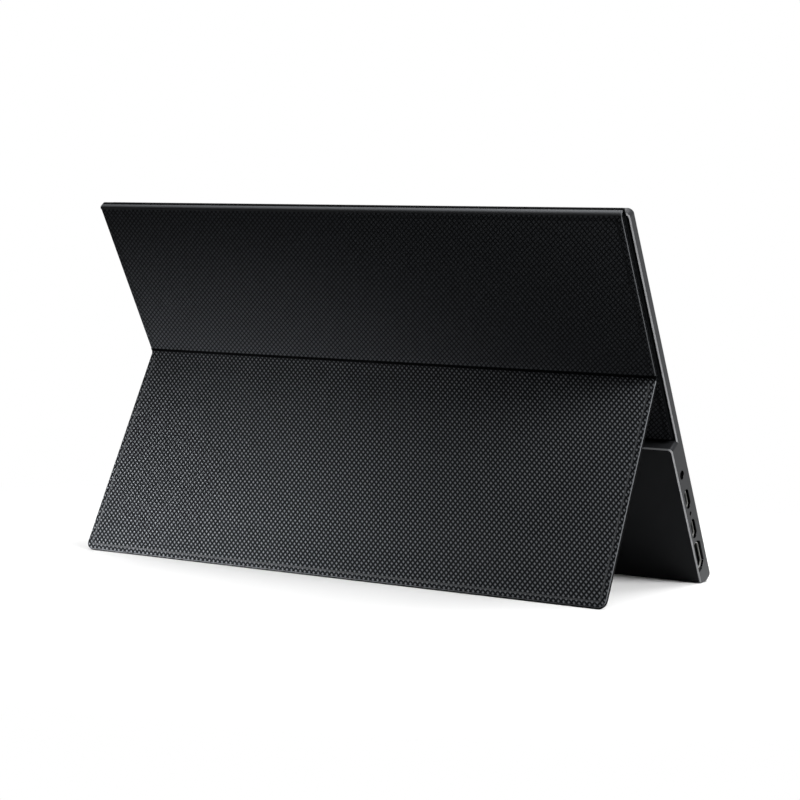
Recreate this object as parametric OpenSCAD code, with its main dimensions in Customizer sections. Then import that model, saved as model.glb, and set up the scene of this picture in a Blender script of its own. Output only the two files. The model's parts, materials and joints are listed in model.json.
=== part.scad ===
// Portable monitor standing on its folding cover.
// X runs along the width, Z is up, and the screen faces -Y. The origin is on the table, under the middle.
// Pieces of the monitor are drawn upright, with Y as depth from the screen face and Z as height from
// the bottom edge, and on_monitor() leans them back.

/* [Monitor body] */
// Overall width of the monitor
body_w = 300; // [290:1:340]
// Overall height of the monitor
body_h = 208.5; // [206:0.5:230]
// Thickness of the slim upper body
slim_t = 5; // [4.8:0.1:6]
// Thickness of the lower housing at its step
thick_top = 12.7; // [12.5:0.1:15]
// Thickness of the lower housing at the bottom edge
thick_bottom = 11.9; // [11.7:0.1:12.5]
// Height of the lower housing
step_h = 82.4; // [80:0.1:90]
// Radius of the two upper corners
corner_r = 2.8; // [2:0.2:6]
// Radius of the two lower corners
low_corner_r = 4; // [3:0.5:6]
// Slant of the underside, which comes down towards the front
under_slant = 29; // [20:1:30]
// Radius of the two corners of the step
step_r = 2; // [1:0.5:4]
// Bevel round the rear edges
bevel = 0.6; // [0.4:0.1:1]
// Thickness of the rear wall
rear_wall = 0.8; // [0.6:0.1:1]
// Thickness of the side walls
side_wall = 1.2; // [1:0.1:1.6]
// How far the monitor leans back
tilt = 32.3; // [25:0.1:38]

/* [Screen] */
// Border of the bezel beside the screen
side_border = 6.75; // [6.5:0.25:12]
// Border of the bezel above the screen
top_border = 7; // [6:0.5:12]
// Height of the chin below the screen
chin = 22.5; // [22:0.5:30]
// Thickness of the bezel
bezel_t = 0.6; // [0.4:0.1:0.8]
// Thickness of the glass cell
cell_t = 0.6; // [0.4:0.1:0.7]
// Thickness of the film stack
film_t = 0.3; // [0.2:0.05:0.4]
// Thickness of the light guide
guide_t = 0.6; // [0.4:0.1:0.7]
// Thickness of the reflector
reflector_t = 0.15; // [0.1:0.05:0.25]
// Floor thickness of the panel frame
frame_t = 0.4; // [0.3:0.1:0.5]

/* [Ports] */
// Depth of the port row behind the screen face
port_depth = 7.2; // [7:0.1:7.4]
// Height of the headphone jack
jack_h = 63.8; // [60:0.1:68]
// Height of the upper USB-C port
usb_upper_h = 49; // [46:0.1:51]
// Height of the status light
light_h = 40.1; // [39:0.1:41]
// Height of the lower USB-C port
usb_lower_h = 30.8; // [29:0.1:33]
// Height of the HDMI port
hdmi_h = 14.4; // [13.5:0.1:16]
// Bore of the headphone jack
jack_bore = 3.6; // [3.5:0.05:3.7]
// Depth of the headphone jack's bore
jack_depth = 12; // [10:0.5:14]
// Gap between a port and its cut-out
port_gap = 1; // [0.3:0.1:1.1]

/* [Controls] */
// Height of the power button
power_h = 66; // [60:0.5:70]
// Length of the power button
power_len = 9; // [7:0.5:12]
// Travel of the power button
power_travel = 0.6; // [0.3:0.1:0.8]
// Height of the menu wheel
wheel_h = 46; // [42:0.5:50]
// Radius of the menu wheel
wheel_r = 5; // [4.5:0.1:5.5]
// Thickness of the menu wheel
wheel_t = 2.6; // [2:0.1:3]
// Travel of the menu wheel when pressed
wheel_travel = 0.4; // [0.2:0.1:0.5]

/* [Cover] */
// Thickness of the stiff panels
panel_t = 2.2; // [2:0.1:2.5]
// Thickness of the soft folds
fold_t = 1; // [0.8:0.1:1.2]
// Thickness of the skin over the boards
skin_t = 0.5; // [0.4:0.05:0.6]
// How far the outer panel ends inside the monitor's sides
panel_inset = 1.5; // [1:0.1:4]
// How far the leg's foot ends inside the monitor's sides
foot_inset = 0.3; // [0.2:0.1:4]
// Air between the back panel and the outer panel
stack_gap = 0.55; // [0.5:0.05:1]
// Length of the outer panel, from its fold to the crease
upper_len = 88.6; // [84:0.1:94]
// Width of the soft web in the crease
web_len = 1.4; // [1.3:0.1:2]
// Lean of the leg from upright, which sets its length
leg_lean = 26.6; // [22:0.1:34]
// Margin of the back panel inside the monitor's edges
back_margin = 1.5; // [1:0.1:3]
// Radius of the leg's lower corners
leg_corner_r = 4; // [2:0.5:8]
// Rounding of the panels' edges
edge_r = 0.6; // [0.3:0.1:0.8]
// Length of the lower spine strip
spine_low = 3; // [2.8:0.1:3.6]

/* [Hidden] */
$fn = 48;

metal = [0.27, 0.27, 0.28];
black = [0.04, 0.04, 0.045];
leather = [0.07, 0.07, 0.08];
steel = [0.7, 0.7, 0.72];
board_green = [0.05, 0.2, 0.1];
fit = 0.1;          // clearance between neighbouring loose pieces
half_w = body_w / 2;
inner_w = body_w - 2 * side_wall;

// Depths of the layers behind the screen face
cell_d = bezel_t;
film_d = cell_d + cell_t;
guide_d = film_d + film_t;
reflector_d = guide_d + guide_t;
frame_d = reflector_d + reflector_t;
frame_back = frame_d + frame_t;
slim_floor = slim_t - rear_wall;

// Heights of the screen and of what lies behind it
screen_w = body_w - 2 * side_border;
screen_top = body_h - top_border;
screen_low = chin;
cell_low = screen_low - 7.5;
cell_top = screen_top + 1.5;
cell_half = screen_w / 2 + 2;
frame_low = cell_low + 2.5;
frame_top = cell_top + 0.8;
frame_half = cell_half + 0.6;
guide_low = frame_low + 2.4;
guide_top = frame_top - 1.4;
guide_half = frame_half - 1;

// Main board
board_t = 0.8;
board_low = 8;
board_top = 74;
board_inset = 4;
board_w = 86;
board_x0 = -half_w + board_inset;
board_x1 = board_x0 + board_w;
screw_edge = 5;         // from the board's upper and inner edges to the screws
screw_rise = 18;        // from its lower edge to the lower screws
screw_side = [12, 16];  // from its outer edge to the upper and the lower screw
screw_spots = [[board_x0 + screw_side[0], board_top - screw_edge],
    [board_x1 - screw_edge, board_top - screw_edge],
    [board_x0 + screw_side[1], board_low + screw_rise],
    [board_x1 - screw_edge, board_low + screw_rise]];
screw_r = 0.85;
pilot_r = 0.9;
head_r = 1.9;
head_t = 0.8;
boss_r = 2.4;
boss_skirt = 1.2;

// Ports, with the standard outer sizes of their shells
usb_shell = [8.94, 3.26];
usb_mouth = [8.34, 2.66];
hdmi_shell = [15, 5.5];
hdmi_mouth = [14, 4.5];
board_d = port_depth + usb_shell[1] / 2;
port_recess = 1;
port_len = 8;
port_face = -half_w + port_recess;
jack_nose_r = 2.25;
light_r = 0.8;

// Controls, on the far side
plate_inset = 14;
plate_x = half_w - plate_inset;
plate_t = 1;
plate_d = [4.6, 10.4];
button_t = 3;
button_proud = 0.2;
flange = 0.8;
control_d = 7.5;
wheel_x = half_w + 0.2 - wheel_r;
axle_r = 0.8;
axle_gap = 0.05;
cheek_t = 1;
cheek_gap = 0.15;

// Switches on the button board
switch = [3.2, 3.6, 6];         // height, width and length of the button's switch
stem_t = 0.5;
wheel_switch_t = 0.8;

// Speakers
speaker = [30, 5, 12];
speaker_wall = 0.8;
speaker_lip = 2;
speaker_x = half_w - 45;
speaker_d = 3.6;

// Foot strip: a ridge of rubber with its sole parallel to the table
foot_len = body_w - 60;
foot_back = thick_bottom - bevel - fit;
foot_drop = 0.4;
sole = 1.8;
foot_low = under_at(foot_back) - foot_drop;
foot_front = foot_back - sole * cos(tilt) - 1.4;

// Height above the table of the monitor's origin, at the foot of its screen face
lift = foot_back * sin(tilt) - foot_low * cos(tilt);

// Fold axes, in the monitor's depth and height
fold_r = fold_t / 2;
cut = fold_r + 0.15;            // where a panel begins, measured from its fold axis
axis_in = fold_r - 0.1;         // depth of a panel's fold axis under its lining
stack_depth = slim_t + 2 * panel_t + stack_gap;
panel_w = body_w - 2 * panel_inset;
foot_w = body_w - 2 * foot_inset;
lower_turn = -4;                // lean of the lower spine strip at rest
shut_lean = 55;                 // its lean towards the screen when the cover is shut
shut_gap = 0.08;                // its least gap to the housing's upper bevel then
fold_1 = [slim_t + fold_r, body_h + shut_gap + fold_r * sin(shut_lean)
    - (fold_r * (1 - cos(shut_lean)) + bevel) / tan(shut_lean)];
fold_2 = fold_1 + spine_low * [-sin(lower_turn), cos(lower_turn)];
fold_3 = [stack_depth - axis_in, body_h + 2.45];
spine_high = norm(fold_3 - fold_2);
upper_turn = atan2(fold_3[1] - fold_2[1], fold_3[0] - fold_2[0]) - 90;
crease_1 = fold_3 - [0, upper_len];
crease_2 = crease_1 - [0, web_len];

// Length of the leg, found so that its foot touches the table
crease_z = lift - crease_2[0] * sin(tilt) + crease_2[1] * cos(tilt);
leg_len = (crease_z - edge_r - (panel_t - axis_in - edge_r) * sin(leg_lean)) / cos(leg_lean) + edge_r;
leg_turn = tilt + leg_lean;

// Furthest points behind and before the foot of the screen face, which centre the whole on the origin
crease_y = crease_2[0] * cos(tilt) + crease_2[1] * sin(tilt);
foot_y = crease_y + (leg_len - edge_r) * sin(leg_lean) + (axis_in - edge_r) * cos(leg_lean) + edge_r;
fold_y = fold_3[0] * cos(tilt) + fold_3[1] * sin(tilt) + fold_r;
lip_y = under_at(0) * sin(tilt);
shift_y = -(max(foot_y, fold_y) + lip_y) / 2;

module on_monitor() {
    translate([0, shift_y, lift]) rotate([-tilt, 0, 0]) children();
}

// A flat piece from depth d0 to d1, from an outline drawn in width and height
module slab(d0, d1) {
    translate([0, d1, 0]) rotate([90, 0, 0]) linear_extrude(d1 - d0) children();
}

// A long piece along the width, from a section drawn in depth and height
module bar(length) {
    rotate([90, 0, 90]) linear_extrude(length, center = true) children();
}

// A piece along the width from x0, from an outline whose first axis points down and second is depth
module across(x0, length, height, depth) {
    translate([x0, depth, height]) rotate([0, 90, 0]) linear_extrude(length) children();
}

module rounded(w, low, high, r_low, r_high) {
    difference() {
        translate([-w / 2, low]) square([w, high - low]);
        for (s = [-1, 1]) {
            corner_cut(s * w / 2, low, -s, 1, r_low);
            corner_cut(s * w / 2, high, -s, -1, r_high);
        }
    }
}

// The sliver outside a rounded corner at (x, z), whose body lies towards (sx, sz)
module corner_cut(x, z, sx, sz, r) {
    if (r > 0) translate([x, z]) scale([sx, sz]) difference() {
        translate([-1, -1]) square(r + 1);
        translate([r, r]) circle(r);
    }
}

module box_on(x, depth, height) {
    translate([x[0], depth[0], height[0]])
        cube([x[1] - x[0], depth[1] - depth[0], height[1] - height[0]]);
}

// Depth of the lower housing's rear face at a height
function rear_at(h) = thick_bottom + (thick_top - thick_bottom) * h / step_h;

// Height of the slanted underside at a depth
function under_at(d) = (d - thick_bottom) * tan(under_slant);

module stadium(size) {
    r = size[1] / 2;
    square([size[0] - 2 * r, size[1]], center = true);
    for (s = [-1, 1]) translate([s * (size[0] / 2 - r), 0]) circle(r);
}

// HDMI outline: wide side to the rear, bevelled corners to the front
module hdmi_outline(size) {
    a = size[0] / 2;
    b = size[1] / 2;
    c = size[1] * 0.42;
    polygon([[-a, b], [a, b], [a, -b + c], [a - c * 0.8, -b], [-a + c * 0.8, -b], [-a, -b + c]]);
}

// ---- Monitor ----

module slim_solid() {
    low = step_h - step_r - 2;
    hull() {
        slab(0, slim_t - bevel) rounded(body_w, low, body_h, 0, corner_r, $fn = 32);
        slab(slim_t - bevel, slim_t)
            rounded(body_w - 2 * bevel, low, body_h - bevel, 0, corner_r - bevel, $fn = 32);
    }
}

module thick_solid() {
    lean = atan((thick_top - thick_bottom) / step_h);
    hull() {
        intersection() {
            slab(0, thick_top) rounded(body_w, under_at(0), step_h, low_corner_r, step_r, $fn = 32);
            bar(body_w + 2) polygon([[0, under_at(0)], [rear_at(0) - bevel, under_at(rear_at(0) - bevel)],
                [rear_at(step_h) - bevel, step_h + 1], [0, step_h + 1]]);
        }
        translate([0, thick_bottom, 0]) rotate([-lean, 0, 0]) slab(-0.02, 0)
            rounded(body_w - 2 * bevel, bevel / 2, step_h - bevel,
                bevel / 2, step_r - bevel / 2, $fn = 32);
    }
}

module port_cuts() {
    reach = side_wall + 2;
    x0 = -half_w - 1;
    for (h = [usb_upper_h, usb_lower_h])
        across(x0, reach, h, port_depth) stadium(usb_shell + [2, 2] * port_gap);
    across(x0, reach, hdmi_h, port_depth) hdmi_outline(hdmi_shell + [2, 2] * port_gap);
    across(x0, reach, jack_h, port_depth + 0.4) circle(jack_nose_r + fit);
    across(x0, reach, light_h, port_depth) circle(light_r + 0.3);
}

module control_cuts() {
    across(half_w - side_wall - 1, side_wall + 2, power_h, control_d)
        stadium([power_len + 2 * fit, button_t + 2 * fit]);
    slot = 2 * sqrt(pow(wheel_r, 2) - pow(half_w - side_wall - wheel_x - wheel_travel, 2)) + 1;
    box_on([half_w - side_wall - 1, half_w + 1],
        [control_d - wheel_t / 2 - 0.3, control_d + wheel_t / 2 + 0.3],
        [wheel_h - slot / 2, wheel_h + slot / 2]);
}

// Rows of small round sound holes under each speaker
module sound_holes() {
    for (s = [-1, 1], i = [-5:5], row = [0, 1])
        translate([s * speaker_x + i * 2.4, speaker_d + 1.3 + row * 2, under_at(0)])
            cylinder(r = 0.6, h = side_wall + 1 - under_at(0), $fn = 16);
}

module boss(spot) {
    translate([spot[0], rear_at(spot[1]) - rear_wall + 0.2, spot[1]]) rotate([90, 0, 0])
        cylinder(r = boss_r, h = rear_at(spot[1]) - rear_wall + 0.2 - board_d - board_t);
}

module pilot(spot) {
    translate([spot[0], board_d + board_t + boss_skirt, spot[1]]) rotate([90, 0, 0])
        cylinder(r = pilot_r, h = boss_skirt + 1);
}

// Ribs on the inside of the rear wall that carry the driver board, the control plate and the speakers
module ribs() {
    for (x = [-50, 0, 50]) rib([x - 0.6, x + 0.6], driver_back, [driver_low, driver_low + 3]);
    for (z = [plate_low - 1.2, plate_high])
        rib([plate_x - 2, plate_x + plate_t + 1.2], plate_d[0] + 1, [z, z + 1.2]);
    for (s = [-1, 1], e = [-1, 1]) rib([s * speaker_x + e * 10 - 0.6, s * speaker_x + e * 10 + 0.6],
        speaker_d + speaker[1], [side_wall - 0.1, board_low - 0.5]);
}

module rib(x, front, height) {
    box_on(x, [front, rear_at(height[1]) - rear_wall + 0.2], height);
}

driver_low = 4.5;
driver_high = 13;
driver_front = film_d + 0.1;
driver_back = driver_front + 0.8;
driver_len = 140;
tab_w = 20;
tab_pitch = 36;
plate_low = wheel_h - 12;
plate_high = power_h + power_len / 2 + 2;

bezel_low = under_at(bezel_t) + side_wall;

module rear_housing() {
    color(metal) on_monitor() difference() {
        union() {
            difference() {
                union() {
                    slim_solid();
                    thick_solid();
                }
                slab(-1, slim_floor)
                    rounded(inner_w, step_h / 2, body_h - side_wall, 0, corner_r - side_wall);
                intersection() {
                    slab(-1, thick_top) rounded(inner_w, side_wall, step_h - side_wall,
                        low_corner_r - side_wall, step_r - side_wall);
                    bar(body_w) polygon([[-1, 0], [rear_at(0) - rear_wall, 0],
                        [rear_at(step_h) - rear_wall, step_h], [-1, step_h]]);
                }
                slab(-1, bezel_t) rounded(inner_w, bezel_low, step_h - side_wall,
                    low_corner_r - side_wall, 0);
            }
            for (spot = screw_spots) boss(spot);
            ribs();
        }
        for (spot = screw_spots) pilot(spot);
        port_cuts();
        control_cuts();
        sound_holes();
    }
}

module front_bezel() {
    color(black) on_monitor() slab(0, bezel_t) difference() {
        rounded(inner_w - 2 * fit, bezel_low + fit, body_h - side_wall - fit,
            low_corner_r - side_wall, corner_r - side_wall);
        translate([-screen_w / 2, screen_low]) square([screen_w, screen_top - screen_low]);
    }
}

module lcd_cell() {
    color([0.02, 0.02, 0.03]) on_monitor()
        box_on([-cell_half, cell_half], [cell_d, film_d], [cell_low, cell_top]);
}

module optical_films() {
    color([0.9, 0.9, 0.92]) on_monitor()
        box_on([-guide_half, guide_half], [film_d, guide_d], [guide_low, guide_top]);
}

module light_guide() {
    color([0.85, 0.9, 0.9]) on_monitor()
        box_on([-guide_half, guide_half], [guide_d, reflector_d], [guide_low, guide_top]);
}

module reflector() {
    color([0.95, 0.95, 0.95]) on_monitor()
        box_on([-guide_half, guide_half], [reflector_d, frame_d], [guide_low, guide_top]);
}

// Tray that holds the films and the light guide, with the cell on its rim
module panel_frame() {
    color([0.8, 0.8, 0.78]) on_monitor() difference() {
        box_on([-frame_half, frame_half], [film_d, frame_back], [frame_low, frame_top]);
        box_on([-guide_half, guide_half], [film_d - 1, frame_d], [led_low, guide_top]);
    }
}

led_count = 24;
led_size = [3.8, 1.2];
led_low = guide_low - led_size[1] - 0.4;

// Strip of small lamps along the lower edge of the light guide
module led_bar() {
    color([0.95, 0.85, 0.4]) on_monitor() {
        box_on([-guide_half + 2, guide_half - 2], [frame_d - 0.1, frame_d],
            [led_low, led_low + 0.4 + led_size[1]]);
        pitch = (2 * guide_half - 20) / (led_count - 1);
        for (i = [0:led_count - 1]) {
            x = -guide_half + 10 + i * pitch;
            box_on([x - led_size[0] / 2, x + led_size[0] / 2], [guide_d, frame_d - 0.1],
                [led_low + 0.4, led_low + 0.4 + led_size[1]]);
        }
    }
}

// Foam tape between the panel frame and the rear wall
module panel_tape() {
    color([0.15, 0.15, 0.15]) on_monitor() {
        for (s = [-1, 1]) box_on([s * (frame_half - 5) - 4, s * (frame_half - 5) + 4],
            [frame_back, slim_floor], [step_h + 10, frame_top - 14]);
        box_on([-frame_half + 20, frame_half - 20], [frame_back, slim_floor], [frame_top - 9, frame_top - 1]);
    }
}

// Long narrow board under the cell, with the flexible tabs that drive the cell
module driver_board() {
    color(board_green) on_monitor() {
        box_on([-driver_len / 2, driver_len / 2], [driver_front, driver_back], [driver_low, driver_high]);
        for (i = [-1.5:1.5])
            box_on([i * tab_pitch - tab_w / 2, i * tab_pitch + tab_w / 2], [film_d, driver_front],
                [driver_high - 4, frame_low - fit]);
    }
}

// Flat ribbon from the driver board to the main board
cable_w = 12;
cable_t = 0.2;
cable_inset = 10;       // from the main board's inner edge to the middle of the ribbon
cable_ends = [1, 4];    // how far above the lower edges of the two boards it begins and lands
cable_rise = 5;         // length that lies on the driver board
cable_lap = 4;          // length that lies on the main board
module panel_cable() {
    start = driver_low + cable_ends[0];
    land = board_low + cable_ends[1];
    color([0.75, 0.72, 0.6]) on_monitor() translate([board_x1 - cable_inset, 0, 0]) bar(cable_w)
        polygon([[driver_back, start], [driver_back + cable_t, start],
            [driver_back + cable_t, start + cable_rise], [board_d, land], [board_d, land + cable_lap], [board_d - cable_t, land + cable_lap],
            [board_d - cable_t, land + cable_t], [driver_back, start + cable_rise + cable_t]]);
}

module main_board() {
    color(board_green) on_monitor() difference() {
        box_on([board_x0, board_x1], [board_d, board_d + board_t], [board_low, board_top]);
        for (spot = screw_spots) translate([spot[0], board_d + 2 * board_t, spot[1]]) rotate([90, 0, 0])
            cylinder(r = screw_r + 0.25, h = 3 * board_t);
        for (p = [[hdmi_h, hdmi_shell[0], port_len + 3], [jack_h, jack_body[1], jack_body[0] + side_wall]])
            box_on([board_x0 - 1, port_face + p[2] + fit], [board_d - 1, board_d + 2],
                [p[0] - p[1] / 2 - fit, p[0] + p[1] / 2 + fit]);
    }
}

// Chips: the middle's distance from the board's outer end and lower edge, then width, height and thickness
chips = [[34, 44, 14, 14, 1.2], [56, 44, 9, 13, 1], [26, 22, 6, 6, 3], [36, 22, 6, 6, 3],
    [50, 22, 8, 6, 1.2], [62, 26, 5, 5, 1], [28, 58, 5, 4, 0.9], [70, 48, 6, 10, 1.4]];

module board_chips() {
    color([0.1, 0.1, 0.1]) on_monitor() for (c = chips)
        box_on([board_x0 + c[0] - c[2] / 2, board_x0 + c[0] + c[2] / 2], [board_d - c[4], board_d],
            [board_low + c[1] - c[3] / 2, board_low + c[1] + c[3] / 2]);
}

module board_screws() {
    color(steel) on_monitor() for (spot = screw_spots) translate([spot[0], board_d, spot[1]]) {
        rotate([90, 0, 0]) difference() {
            cylinder(r = head_r, h = head_t);
            for (a = [0, 90]) rotate(a) translate([-1, -0.2, head_t - 0.4]) cube([2, 0.4, 1]);
        }
        rotate([-90, 0, 0]) cylinder(r = screw_r, h = board_t + boss_skirt - 0.2);
    }
}

jack_body = [12.5, 7, 5.4];
module headphone_jack() {
    color(black) on_monitor() difference() {
        union() {
            box_on([-half_w + side_wall + fit, -half_w + side_wall + fit + jack_body[0]],
                [port_depth + 0.4 - jack_body[2] / 2, port_depth + 0.4 + jack_body[2] / 2],
                [jack_h - jack_body[1] / 2, jack_h + jack_body[1] / 2]);
            across(port_face, side_wall + 1, jack_h, port_depth + 0.4) circle(jack_nose_r);
        }
        across(port_face - 1, jack_depth + 1, jack_h, port_depth + 0.4) circle(jack_bore / 2);
    }
}

// Shell with its tongue, on a solid back
module usb_c(h) {
    color(steel) on_monitor() {
        across(port_face, port_len, h, port_depth) difference() {
            stadium(usb_shell);
            stadium(usb_mouth);
        }
        across(port_face + port_len - 1.5, 1.5, h, port_depth) stadium(usb_mouth);
        across(port_face + 1, port_len - 1.5, h, port_depth) square([6.7, 0.7], center = true);
        box_on([port_face + 3, port_face + port_len], [port_depth + usb_shell[1] / 2 - 0.3, board_d],
            [h - 4, h + 4]);
    }
}

module usb_c_upper() { usb_c(usb_upper_h); }
module usb_c_lower() { usb_c(usb_lower_h); }

module hdmi_port() {
    color(steel) on_monitor() {
        across(port_face, port_len + 3, hdmi_h, port_depth) difference() {
            hdmi_outline(hdmi_shell);
            hdmi_outline(hdmi_mouth);
        }
        across(port_face + port_len + 1, 2, hdmi_h, port_depth) hdmi_outline(hdmi_mouth);
        across(port_face + 1, port_len + 1, hdmi_h, port_depth) square([11.4, 1.2], center = true);
    }
}

// Clear rod from the main board to its hole in the side
module light_pipe() {
    color([0.9, 0.95, 1]) on_monitor() {
        across(port_face, 6, light_h, port_depth) circle(light_r, $fn = 24);
        box_on([port_face + 4.4, port_face + 6], [port_depth - light_r, board_d],
            [light_h - 0.8, light_h + 0.8]);
    }
}

module speaker_box(side) {
    color(black) on_monitor() translate([side * speaker_x, 0, 0]) difference() {
        slab(speaker_d, speaker_d + speaker[1])
            rounded(speaker[0], side_wall, side_wall + speaker[2], 0, 3);
        translate([speaker_lip - speaker[0] / 2, speaker_d + speaker_wall, side_wall - 1])
            cube([speaker[0] - 2 * speaker_lip, speaker[1] - 2 * speaker_wall, 3]);
    }
}

module speaker_left() { speaker_box(1); }
module speaker_right() { speaker_box(-1); }

// Upright board behind the controls, with a tact switch for the button and one for the wheel
module button_board() {
    color(board_green) on_monitor() {
        box_on([plate_x, plate_x + plate_t], plate_d, [plate_low, plate_high]);
        box_on([plate_x + plate_t, plate_x + plate_t + switch[0]],
            [control_d - switch[1] / 2, control_d + switch[1] / 2],
            [power_h - switch[2] / 2, power_h + switch[2] / 2]);
        across(plate_x + plate_t + switch[0], stem_t, power_h, control_d) circle(0.9);
        across(plate_x + plate_t, wheel_switch_t, wheel_h, control_d) circle(1.2);
    }
}

module power_button() {
    color(metal) on_monitor() {
        across(half_w - side_wall - flange - fit, side_wall + flange + fit + button_proud, power_h, control_d)
            stadium([power_len, button_t]);
        across(half_w - side_wall - flange - fit, flange, power_h, control_d)
            stadium([power_len + 1.6, button_t + 1.6]);
        x0 = plate_x + plate_t + switch[0] + stem_t + power_travel + fit;
        across(x0, half_w - side_wall - flange - fit - x0, power_h, control_d) circle(1);
    }
}

carrier_x = plate_x + plate_t + wheel_switch_t + wheel_travel + fit;
cheek_d = wheel_t / 2 + cheek_gap;

// Fork that carries the menu wheel's axle and slides when the wheel is pressed
module wheel_carrier() {
    color([0.2, 0.2, 0.2]) on_monitor() {
        box_on([carrier_x, wheel_x - wheel_r - 0.4],
            [control_d - cheek_d - cheek_t, control_d + cheek_d + cheek_t],
            [wheel_h - 4, wheel_h + 4]);
        for (s = [-1, 1]) difference() {
            d0 = control_d + s * (cheek_d + cheek_t / 2);
            box_on([wheel_x - wheel_r - 0.4, wheel_x + 2.2], [d0 - cheek_t / 2, d0 + cheek_t / 2],
                [wheel_h - 2.2, wheel_h + 2.2]);
            translate([wheel_x, d0 + cheek_t, wheel_h]) rotate([90, 0, 0])
                cylinder(r = axle_r + axle_gap, h = 2 * cheek_t);
        }
    }
}

notch_count = 24;

// Thumb wheel with a notched rim, on its own axle
module menu_wheel() {
    color([0.12, 0.12, 0.12]) on_monitor() translate([wheel_x, control_d, wheel_h]) rotate([90, 0, 0]) {
        difference() {
            cylinder(r = wheel_r, h = wheel_t, center = true);
            for (i = [0:notch_count - 1]) rotate(i * 360 / notch_count) translate([wheel_r + 0.1, 0, 0])
                cylinder(r = 0.35, h = wheel_t + 1, center = true, $fn = 16);
        }
        cylinder(r = axle_r, h = 2 * (cheek_d + cheek_t), center = true);
    }
}

magnet = [30, 1.2, 8];
magnet_side = 40;       // from the side of the monitor to the middle of the outer magnets
magnet_drop = 60;       // from the top of the monitor to the lower edge of the row
magnet_x = [-1, -0.5, 0, 0.5, 1] * (half_w - magnet_side);
magnet_h = body_h - magnet_drop;

module housing_magnets() {
    color(steel) on_monitor() for (x = magnet_x)
        box_on([x - magnet[0] / 2, x + magnet[0] / 2], [slim_floor - magnet[1], slim_floor],
            [magnet_h, magnet_h + magnet[2]]);
}

// Magnets in the chin, which hold the closed cover
module chin_magnets() {
    color(steel) on_monitor() for (s = [-1, 1])
        box_on([s * magnet_x[4] - magnet[0] / 2, s * magnet_x[4] + magnet[0] / 2],
            [bezel_t, bezel_t + magnet[1]], [cell_low - 0.5 - magnet[2], cell_low - 0.5]);
}

module foot_strip() {
    color(black) on_monitor() bar(foot_len) polygon([[foot_back, under_at(foot_back)], [foot_back, foot_low],
        [foot_back - sole * cos(tilt), foot_low - sole * sin(tilt)], [foot_front, under_at(foot_front)]]);
}

// ---- Cover ----

// Puts a panel's frame on a fold axis: the panel hangs down from it, and +Y is the side that faces the rear
module at_fold(axis, turn) {
    on_monitor() translate([0, axis[0], axis[1]]) rotate([turn, 0, 0]) children();
}

// Outline of a hanging panel between two depths below its axis, which may widen downwards
module panel_outline(w_top, w_low, top, low, r) {
    x1 = w_top / 2;
    x2 = w_low / 2;
    difference() {
        polygon([[-x1, -top], [x1, -top], [x2, -low], [-x2, -low]]);
        for (s = [-1, 1]) corner_cut(s * x2, -low, -s, 1, r);
    }
}

// A stiff panel with softly rounded edges
module panel_solid(w_top, w_low, top, low, r, front, back) {
    hull() {
        slab(front + edge_r, back - edge_r) panel_outline(w_top, w_low, top, low, r, $fn = 32);
        slab(front, back) panel_outline(w_top - 2 * edge_r, w_low - 2 * edge_r,
            top, low - edge_r, r - edge_r / 2, $fn = 32);
    }
}

// The soft lip that joins a panel to the bead along its fold axis
module fold_bead(w) {
    bar(w) {
        circle(fold_r);
        translate([-fold_r, -cut - 0.2]) square([fold_t, cut + 0.2]);
    }
}

pocket_margin = 4;
board_gap = 0.1;
board_thick = panel_t - 2 * skin_t - board_gap;

// The space for a stiffener inside a panel's skin, from a face by a depth
module pocket(w_top, w_low, top, low, face, depth) {
    slab(min(face, face + depth), max(face, face + depth))
        panel_outline(w_top - 2 * pocket_margin, w_low - 2 * pocket_margin,
            top + pocket_margin, low - pocket_margin, 2);
}

// Rear and front faces of the outer panel and of the leg, from their fold axes
rear_y = axis_in;
front_y = axis_in - panel_t;

// Back panel, fixed to the rear wall of the slim body
back_top = cut;
back_low = fold_1[1] - step_h - back_margin;
back_front = slim_t - fold_1[0];
back_w = body_w - 2 * back_margin;

module back_skin() {
    color(leather) at_fold(fold_1, 0) difference() {
        union() {
            panel_solid(back_w, back_w, back_top, back_low, 1, back_front, back_front + panel_t);
            fold_bead(back_w);
        }
        pocket(back_w, back_w, back_top, back_low, back_front, panel_t - skin_t);
    }
}

module back_board() {
    color([0.5, 0.45, 0.35]) at_fold(fold_1, 0) difference() {
        pocket(back_w, back_w, back_top, back_low, back_front + panel_t - skin_t, -board_thick);
        magnet_holes(magnet_x, -(fold_1[1] - magnet_h), back_front);
    }
}

module magnet_holes(xs, z, y) {
    for (x = xs) box_on([x - magnet[0] / 2, x + magnet[0] / 2], [y, y + panel_t], [z, z + magnet[2]]);
}

module back_magnets() {
    color(steel) at_fold(fold_1, 0) intersection() {
        pocket(back_w, back_w, back_top, back_low, back_front + panel_t - skin_t, -board_thick);
        magnet_holes(magnet_x, -(fold_1[1] - magnet_h), back_front);
    }
}

module back_backing() {
    color([0.1, 0.1, 0.1]) at_fold(fold_1, 0)
        pocket(back_w, back_w, back_top, back_low, back_front, panel_t - skin_t - board_thick);
}

// A soft strip that rises from one fold axis to the next, with a bead on its far axis
module spine_strip(length, w) {
    bar(w) {
        translate([-fold_r, cut]) square([fold_t, length - cut]);
        translate([0, length]) circle(fold_r);
    }
}

module spine_lower() {
    color(leather) at_fold(fold_1, lower_turn) spine_strip(spine_low, panel_w);
}

module spine_upper() {
    color(leather) at_fold(fold_2, upper_turn) spine_strip(spine_high, panel_w);
}

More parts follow.
